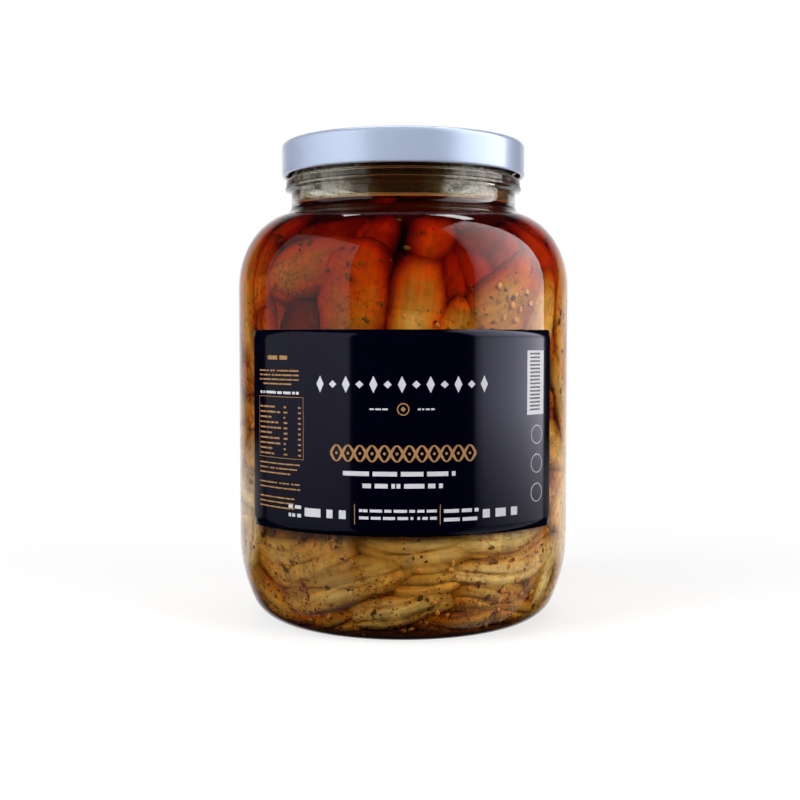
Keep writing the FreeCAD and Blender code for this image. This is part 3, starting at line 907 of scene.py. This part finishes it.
def scatter(
    name, count, rng, size, flat, material, spots=(), form=None, settle=1.5, top=186, rough=0.3
):
    """Small bits against the glass, as one mesh: by chance all round, and at chosen spots."""
    corners, form_faces, rims = form or lump_form()
    places, bits = list(spots), []
    for _ in range(count):
        up = 4 + (top - 4) * rng.random() ** settle
        depth = rng.uniform(0.45, 1.3) + 2.5 * max(0, up - 140) / 50
        places.append((rng.uniform(-180, 180), up, depth))
    for turn, up, depth in places:
        big = rng.uniform(*size)
        scale = np.array([big, big * rng.uniform(0.6, 0.9), big * flat])
        spin = rng.uniform(0, pi)
        uneven = 1 + np.array([rng.uniform(-rough, rough) for _ in corners])[:, None]
        bit = corners * uneven * scale
        x = bit[:, 0] * cos(spin) - bit[:, 1] * sin(spin)
        y = bit[:, 0] * sin(spin) + bit[:, 1] * cos(spin)
        along = np.clip(length_at(up) + y, 2, wall_length[-1] - 0.5)
        swing = radians(turn) + x / np.maximum(radius_at(along), 20)
        bits.append((on_wall(swing, along, np.maximum(depth - bit[:, 2], 0.12)), form_faces))
    piece = make_object(name, *merge(bits), [material])
    layer = piece.data.attributes.new("rim", "FLOAT", "POINT")
    layer.data.foreach_set("value", np.tile(rims, len(places)).astype(np.float32))


# Seeds that stand out at the front: degrees from the front, height, depth behind the glass.
FRONT_SEEDS = (
    (-12, 31.4, 0.2), (46.5, 32.6, 0.2), (-45.7, 32.7, 0.2), (30, 46, 0.3), (52, 37, 0.3),
    (-17, 36.5, 0.3), (-27, 17, 0.3), (36, 22, 0.6), (42, 26, 0.5), (37, 148, 0.3),
    (40, 148.5, 0.3), (38.5, 144, 0.3), (42, 142.5, 0.3), (33, 152, 0.3), (45, 150, 0.3),
    (11, 135.5, 0.4), (0.5, 139, 0.4),
    (40, 138, 0.3), (35, 139, 0.3), (47, 145, 0.3), (-52, 40, 0.5),
)
# The seedy lower edge of the slice at the upper left.
FRILL = tuple(
    (-49 + 1.35 * i, 152 - 3.5 * sin(i / 14 * pi) + 1.3 * (i % 2), 0.9) for i in range(15)
)
FRONT_HERBS = (
    (-43, 30.5, 0.5), (8, 21, 0.4), (-10, 15, 0.5), (30, 20, 0.4), (26, 27, 0.4), (6, 10.5, 0.5),
    (19, 36, 0.4), (-26, 25, 0.5), (1, 167, 1.0), (-14, 161, 1.0), (24, 141, 0.6), (28, 140, 0.6),
    (-22, 133, 1.2), (42, 13, 0.5), (-56, 44, 0.5), (-36, 45, 0.5),
)


def make_spices():
    """Seeds, chilli flakes, herbs, pepper and the fine spice that sinks to the foot."""
    rng = random.Random(SEED + 2)
    thin = {"form": lens_form(), "settle": 1.3, "top": 130, "rough": 0.06}
    scatter("seeds", 380, rng, (2.1, 3.1), 0.3, seed_material(), FRONT_SEEDS, **thin)
    dull = {"specular": 0.03, "uneven": 0.5, "scale": 500.0}
    pulp = plain_material("seedy_pulp", (0.42, 0.09, 0.015), 0.5, **dull)
    scatter("seedy_pulp", 0, rng, (1.5, 2.6), 0.7, pulp, FRILL)
    chilli = plain_material("chilli", (0.20, 0.035, 0.012), 0.5, **dull)
    scatter("chilli_flakes", 300, rng, (1.0, 3.0), 0.22, chilli, rough=0.5)
    herb = plain_material("herb", (0.17, 0.095, 0.024), 0.6, **dull)
    scatter("herb_flakes", 380, rng, (1.0, 3.6), 0.2, herb, FRONT_HERBS, rough=0.5)
    pepper = plain_material("pepper", (0.16, 0.066, 0.022), 0.6, **dull)
    scatter("pepper_grains", 520, rng, (0.4, 1.0), 0.7, pepper)
    dust = plain_material("fine_spice", (0.20, 0.055, 0.014), 0.6, **dull)
    scatter("fine_spice", 3200, rng, (0.4, 1.2), 0.6, dust, settle=3.0, top=30)


def make_droplets():
    """Beads of moisture on the dry glass of the neck."""
    rng = random.Random(SEED + 4)
    corners, form_faces, _ = lump_form()
    centre = MOUTH_RADIUS - 0.02
    beads = []
    for _ in range(150):
        turn, up = rng.uniform(0, 2 * pi), rng.uniform(OIL_LEVEL + 2, GROOVE_Z + 3)
        size = rng.uniform(0.25, 0.8)
        bead = corners * np.array([size, size * rng.uniform(1, 1.6), size * 0.6])
        swing = turn + bead[:, 0] / centre
        radius = centre - np.maximum(0.0, bead[:, 2] + size * 0.1)
        places = [radius * np.sin(swing), -radius * np.cos(swing), up + bead[:, 1]]
        beads.append((np.stack(places, axis=-1), form_faces))
    material = clear_material("droplet", (0.96, 0.95, 0.9), 0.02, 1.36)
    make_object("droplets", *merge(beads), [material])


def make_spice_bed():
    """Fine spice that has settled on the floor of the jar."""
    rng = random.Random(SEED + 3)
    hills = [(k, rng.uniform(0, 6.3), rng.uniform(0.2, 1)) for k in (3, 5, 8, 13, 21, 34)]

    def ragged(turn, across, up):
        """The bed's edge wanders in and out along the glass."""
        rise = sum(size * sin(k * turn + phase) for k, phase, size in hills)
        return min(0, -1.0 + rise * 0.7) if 5 < up < BED_RIM_Z - 0.1 else 0

    points = [(0, PUNT_RISE + FLOOR + 0.4)]
    for along in np.linspace(length_at(3.4) * 0.3, length_at(BED_EDGE_Z), 16):
        _, across, up = on_wall(0.0, along, BED_DEPTH).tolist()
        points.append((-across, up))
    points += [(points[-1][0] - 5, BED_RIM_Z), (40, BED_TOP_Z), (0, BED_TOP_Z)]
    vertices, faces, _ = revolve(points, ragged, 192)
    dull = plain_material("spice_bed", (0.17, 0.055, 0.015), 0.6, 0.03, 0.6, 700.0)
    make_object("spice_bed", vertices, faces, [dull])


def make_shade_core():
    """The middle of the heap, under the slices that lie against the glass, in near-black as
    painted shade.
    """
    rng = random.Random(SEED + 1)
    points = [
        (float(radius_at(length_at(height))) - CORE_INSET, float(max(height, 8)))
        for height in np.linspace(5, CORE_TOP, 40)
    ]
    points = [(0, CORE_FOOT)] + points + [(0, CORE_TOP)]
    vertices, faces, _ = revolve(points, lambda *_: rng.uniform(-0.8, 0.8), 96)
    # Near-black: painted shade of the heap's depths behind the slices.
    dark = plain_material("packed_middle_shade", (0.06, 0.015, 0.005), 0.6, 0.03)
    make_object("packed_middle_shade", vertices, faces, [dark])


# ---- label ----


def paper_material():
    """Near-black navy paper with a sheen."""
    sheen = {"Specular_Tint": (0.72, 0.70, 1.0, 1)}
    return plain_material("navy_paper", (0.0003, 0.0003, 0.0040), 0.10, 0.5, 0.3, **sheen)


def wrapped(sheet, outer, inner):
    """A closed thin shell on the label's curve, from rows of (along the curve, height)."""
    rows, columns = len(sheet), len(sheet[0])
    vertices, faces = [], []
    for radius in (outer, inner):
        for along, up in (place for row in sheet for place in row):
            turn = along / BODY_RADIUS
            vertices.append((radius * sin(turn), -radius * cos(turn), up))
    half = rows * columns
    for a in (r * columns + c for r in range(rows - 1) for c in range(columns - 1)):
        face = (a, a + 1, a + columns + 1, a + columns)
        faces += [face, tuple(q + half for q in face[::-1])]
    edge = list(range(columns)) + [r * columns - 1 for r in range(2, rows + 1)]
    edge += [half - 1 - c for c in range(1, columns)]
    edge += [(rows - 1 - r) * columns for r in range(1, rows - 1)]
    faces += [(b, a, a + half, b + half) for a, b in zip(edge, edge[1:] + edge[:1])]
    return vertices, faces


def make_label():
    """The wrap label, with rounded corners."""
    corner, columns, rows = 2.0, 120, 24
    left, right = (radians(turn) * BODY_RADIUS for turn in (LABEL_LEFT, LABEL_RIGHT))
    bends = [corner * (1 - cos(a)) for a in np.linspace(0, pi / 2, 7)]
    across = [left + b for b in bends[:-1]]
    across += list(np.linspace(left + corner, right - corner, columns))
    across += [right - b for b in bends[-2::-1]]
    sheet = []
    for i in range(rows + 1):
        row = []
        for x in across:
            near = min(x - left, right - x)
            cut = corner - sqrt(max(0, corner**2 - max(0, corner - near) ** 2))
            row.append((x, LABEL_FOOT + cut + (LABEL_HEAD - LABEL_FOOT - 2 * cut) * i / rows))
        sheet.append(row)
    vertices, faces = wrapped(sheet, BODY_RADIUS + 0.10, BODY_RADIUS + 0.01)
    label = make_object("wrap_label", vertices, faces, [paper_material()])
    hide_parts("label")


def strip(points, thick):
    """Rows for a line of even or changing thickness along (along, height) points."""
    points = np.array(points, dtype=float)
    thick = np.broadcast_to(thick, len(points))[:, None]
    slope = np.gradient(points, axis=0)
    slope /= np.hypot(*slope.T)[:, None]
    across = np.stack([-slope[:, 1], slope[:, 0]], axis=-1) * thick / 2
    return [(points - across).tolist(), (points + across).tolist()]


def bar(left, right, low, high):
    """Rows for a plain bar."""
    steps = max(2, int((right - left) / 2) + 1)
    across = np.linspace(left, right, steps)
    return [[(x, low) for x in across], [(x, high) for x in across]]


def words(rng, left, right, middle, tall, longest):
    """A broken line of bars that stands for small print."""
    bars, at = [], left
    while at < right - 1:
        end = min(right, at + rng.uniform(0.3, 1) * longest)
        bars.append(bar(at, end, middle - tall / 2, middle + tall / 2))
        at = end + tall * 0.8
    return bars


def lozenge(middle, height, wide, tall):
    """Rows for a diamond."""
    spread = np.linspace(-1, 1, 9)
    half = [(1 - abs(s)) * tall / 2 + 0.01 for s in spread]
    return [
        [(middle + s * wide / 2, height + way * h) for s, h in zip(spread, half)]
        for way in (-1, 1)
    ]


def ring(middle, height, radius, thick):
    """Rows for a thin ring."""
    turns = np.linspace(0, 2 * pi, 33)
    return [
        [(middle + reach * cos(a), height + reach * sin(a)) for a in turns]
        for reach in (radius, radius - thick)
    ]


def print_front(rng, white, gold):
    """Frieze, emblem, braid and the lines of bars under them."""
    for i in range(13):
        white.append(lozenge(-36 + i * 5.92, FRIEZE_Z, 3.4, 7.0 if i % 2 == 0 else 3.2))
    gold.append(ring(0, EMBLEM_Z, 2.6, 0.5))
    gold.append(lozenge(0, EMBLEM_Z, 2.2, 2.2))
    white += words(rng, -14, -6, EMBLEM_Z, 0.7, 3) + words(rng, 6, 14, EMBLEM_Z, 0.7, 3)
    swing = np.linspace(0, 1, 160)
    along = -BRAID_HALF + 2 * BRAID_HALF * swing
    for phase in (0, pi):
        wave = BRAID_Z + 3.3 * np.sin(swing * BRAID_LINKS * pi + phase)
        thick = 0.45 + 0.75 * np.abs(np.cos(swing * BRAID_LINKS * pi))
        gold.append(strip(np.stack([along, wave], axis=-1), thick))
    for i in range(BRAID_LINKS):
        middle = -BRAID_HALF + 2 * BRAID_HALF * (i + 0.5) / BRAID_LINKS
        gold.append(lozenge(middle, BRAID_Z, 1.5, 1.5))
    white += words(rng, -25.5, 22, 74.0, 1.9, 13) + words(rng, -17, 16.5, 69.0, 1.9, 9)
    for left, small, big in ((-53, 7, 21), (17, 15.5, 20)):
        for height in (58.4, 54.8):
            white += words(rng, left, left + small, height, 1.5, 7)
        white += words(rng, left + small + 2, left + small + 2 + big, 56.6, 3.6, 9)
    for height in (58.6, 55.6):
        white += words(rng, -18.5, 14, height, 1.2, 7)
    gold += [bar(-20.6, -20.3, 52.8, 61.2), bar(15.3, 15.6, 52.8, 61.2)]


def print_left(rng, white, gold):
    """A heading, four lines, a framed table of ten rows and three paragraphs of small print."""
    gold += words(rng, -66.5, -53.5, 121.8, 1.7, 7)
    for i, inset in enumerate((0, 0, 0, 3)):
        gold += words(rng, -73 + inset, -47 - inset, 116.2 - i * 1.9, 0.65, 7)
    white += words(rng, -72.5, -47, 106.8, 1.1, 9)
    left, right, low, high = TABLE
    gold += [bar(left, right, high - 0.2, high), bar(left, right, low, low + 0.2)]
    gold += [bar(left, left + 0.2, low, high), bar(right - 0.2, right, low, high)]
    for i in range(10):
        height = 100.6 - i * 2.25
        gold += words(rng, -72.6, -72.6 + rng.uniform(7, 15), height, 0.75, 7)
        gold += words(rng, -55.8, -53.6, height, 0.75, 3)
        gold += words(rng, -47.4, -45.9, height, 0.75, 3)
    for i in (0, 1, 2, 4, 5, 7, 8, 9):
        gold += words(rng, -73.2, rng.uniform(-52, -46), 76.2 - i * 2.1, 0.6, 7)


def make_ink(name, marks, colour, outer, inner, uneven=0.25):
    """One ink of the print, as thin shells on the label."""
    shells = (wrapped(mark, BODY_RADIUS + outer, BODY_RADIUS + inner) for mark in marks)
    ink = plain_material(name, colour, 0.25, 0.5, uneven)
    make_object(name, *merge(shells), [ink], smooth=False)


def make_print():
    """Generic white and gold print, with a white panel of stripes and three rings at the right."""
    rng = random.Random(SEED + 5)
    white, gold = [], []
    print_front(rng, white, gold)
    print_left(rng, white, gold)
    white.append(bar(58.6, 70.4, 97.2, 124.8))
    white += [ring(65.4, 88.5 - i * 12.6, 4.1, 0.32) for i in range(3)]
    stripes = [bar(60.4, 67.6, 99.0 + i * 1.6, 99.8 + i * 1.6) for i in range(16)]
    make_ink("print_white", white, (0.62, 0.62, 0.66), 0.12, 0.095, 0.06)
    make_ink("print_gold", gold, (0.38, 0.20, 0.075), 0.12, 0.095, 0.06)
    make_ink("print_dark", stripes, (0.02, 0.02, 0.03), 0.14, 0.11)


# ---- light, floor and camera ----


# Stops of shade across each side box and up it, as (place, level).
LEFT_SHADES = (
    ((0.0, 0.45), (0.5, 0.8), (1.0, 1.0)),
    ((0.40, 0.4), (0.46, 0.8), (0.52, 1.0)),
)
RIGHT_SHADES = (
    ((0.0, 0.10), (0.12, 0.33), (0.5, 0.6), (1.0, 1.0)),
    ((0.44, 0.10), (0.462, 0.19), (0.476, 0.5), (0.489, 1.0), (0.505, 0.95), (0.516, 0.7))
    + ((0.54, 0.7), (0.6, 1.0), (0.75, 0.7), (1.0, 0.6)),
)
# Lamps that nothing mirrors: name, degrees from the front, degrees up, distance, width, height
# and power.
FILLS = (
    ("front_fill", -8, 34, 1.4, 1.2, 0.8, 3.4),
    ("left_fill", -58, 22, 1.4, 0.8, 0.8, 14.5),
    ("right_fill", 58, 24, 1.4, 0.8, 0.8, 13.0),
)


def softbox(name, turn, rise, distance, wide, tall, power, gloss=True, shades=None):
    """A square lamp that faces the jar; turn is measured from the front, towards +X. Its
    shades are two lists of stops, across it and up it."""
    lamp = bpy.data.lights.new(name, "AREA")
    lamp.shape = "RECTANGLE"
    lamp.size, lamp.size_y, lamp.energy = wide, tall, power
    if shades:
        tree = empty_tree(lamp)
        place = node(tree, "ShaderNodeNewGeometry").outputs["Parametric"]
        across, up = (
            ramp(tree, part_of(tree, place, axis), greys(stops))
            for axis, stops in zip("XY", shades)
        )
        node(tree, "ShaderNodeOutputLight", {"Surface": glow(tree, times(tree, across, up))})
    holder = bpy.data.objects.new(name, lamp)
    turn, rise = radians(turn), radians(rise)
    holder.location = (
        distance * cos(rise) * sin(turn),
        -distance * cos(rise) * cos(turn),
        AIM_HEIGHT + distance * sin(rise),
    )
    holder.rotation_euler = (pi / 2 - rise, 0, turn)
    holder.visible_glossy = holder.visible_transmission = gloss
    bpy.context.scene.collection.objects.link(holder)
    return holder


def floor_material():
    """Pale paper that fades to white away from the jar. Polished faces mirror only the part of
    it that is behind the jar and near it."""
    material, tree = new_material("studio_floor")
    away = node(tree, "ShaderNodeVectorMath", {0: here(tree)}, operation="LENGTH").outputs["Value"]
    paper = principled(tree, Base_Color=(0.5, 0.5, 0.5, 1), Roughness=0.9, Specular_IOR_Level=0.0)
    near = node(tree, "ShaderNodeAddShader", {0: paper, 1: glow(tree, 0.62)}).outputs[0]
    white = glow(tree, 1.0)
    seen = blend(tree, remap(tree, away, 0.08, 0.40, smooth=True), near, white)
    path = node(tree, "ShaderNodeLightPath").outputs
    direct = calc(tree, "MAXIMUM", path["Is Camera Ray"], path["Is Transmission Ray"])
    back = calc(tree, "DIVIDE", part_of(tree, here(tree), "Y"), away)
    back = times(tree, remap(tree, back, 0.2, 0.55), remap(tree, away, 0.45, 1.1, 1.0, 0.0))
    mirrored = blend(tree, back, transparent(tree), white)
    surface = blend(tree, direct, paper, seen)
    finish_with(tree, blend(tree, path["Is Glossy Ray"], surface, mirrored))
    return material


def make_world():
    """White to the eye; for every other ray dark, but for a white patch straight behind."""
    world = bpy.data.worlds.new("studio")
    tree = empty_tree(world)
    toward = part_of(tree, node(tree, "ShaderNodeTexCoord").outputs["Generated"], "Y")
    stops = ((0.86, (0.012, 0.012, 0.016)), (0.98, (1.0, 1.0, 1.0)))
    shade = ramp(tree, remap(tree, toward, -1.0, 1.0), stops)
    path = node(tree, "ShaderNodeLightPath").outputs["Is Camera Ray"]
    background = node(tree, "ShaderNodeBackground", {"Color": mix(tree, path, shade, (1, 1, 1))})
    node(tree, "ShaderNodeOutputWorld", {"Surface": background.outputs[0]})
    bpy.context.scene.world = world
    bpy.context.scene.view_settings.view_transform = "Standard"


def make_studio():
    """Pale floor, pale surround and six lamps."""
    bpy.ops.mesh.primitive_plane_add(size=FLOOR_SIZE, location=(0, 0, 0))
    floor = bpy.context.object
    floor.name = "studio_floor"
    floor.data.materials.append(floor_material())
    softbox("left_softbox", -70, 0, 1.1, 1.55, 2.5, 8.5, shades=LEFT_SHADES)
    key = softbox("right_softbox", 78, 0, 1.1, 1.3, 5.6, 105, shades=RIGHT_SHADES)
    key.visible_diffuse = False
    for fill in FILLS:
        softbox(*fill, gloss=False)
    softbox("top_strip", 170, 75, 0.9, 0.7, 0.12, 2.0)
    make_world()


def make_camera():
    """Straight on, a little above the middle of the jar, tipped slightly down."""
    data = bpy.data.cameras.new("camera")
    data.sensor_width, data.lens, data.shift_x = 36.0, CAMERA_LENS, CAMERA_SHIFT
    camera = bpy.data.objects.new("camera", data)
    camera.location = CAMERA_PLACE
    camera.rotation_euler = (radians(90 - CAMERA_TIP), 0, 0)
    bpy.context.scene.collection.objects.link(camera)
    bpy.context.scene.camera = camera


make_camera()
make_studio()
make_glass()
make_oil()
make_oil_top()
make_lid()
make_label()
make_print()
make_droplets()
flesh = flesh_material()
low_slices, high_slices = pack_slices()
join_slices("lower_slices", low_slices, flesh)
join_slices("upper_slices", high_slices, flesh)
make_shade_core()
make_spice_bed()
make_spices()
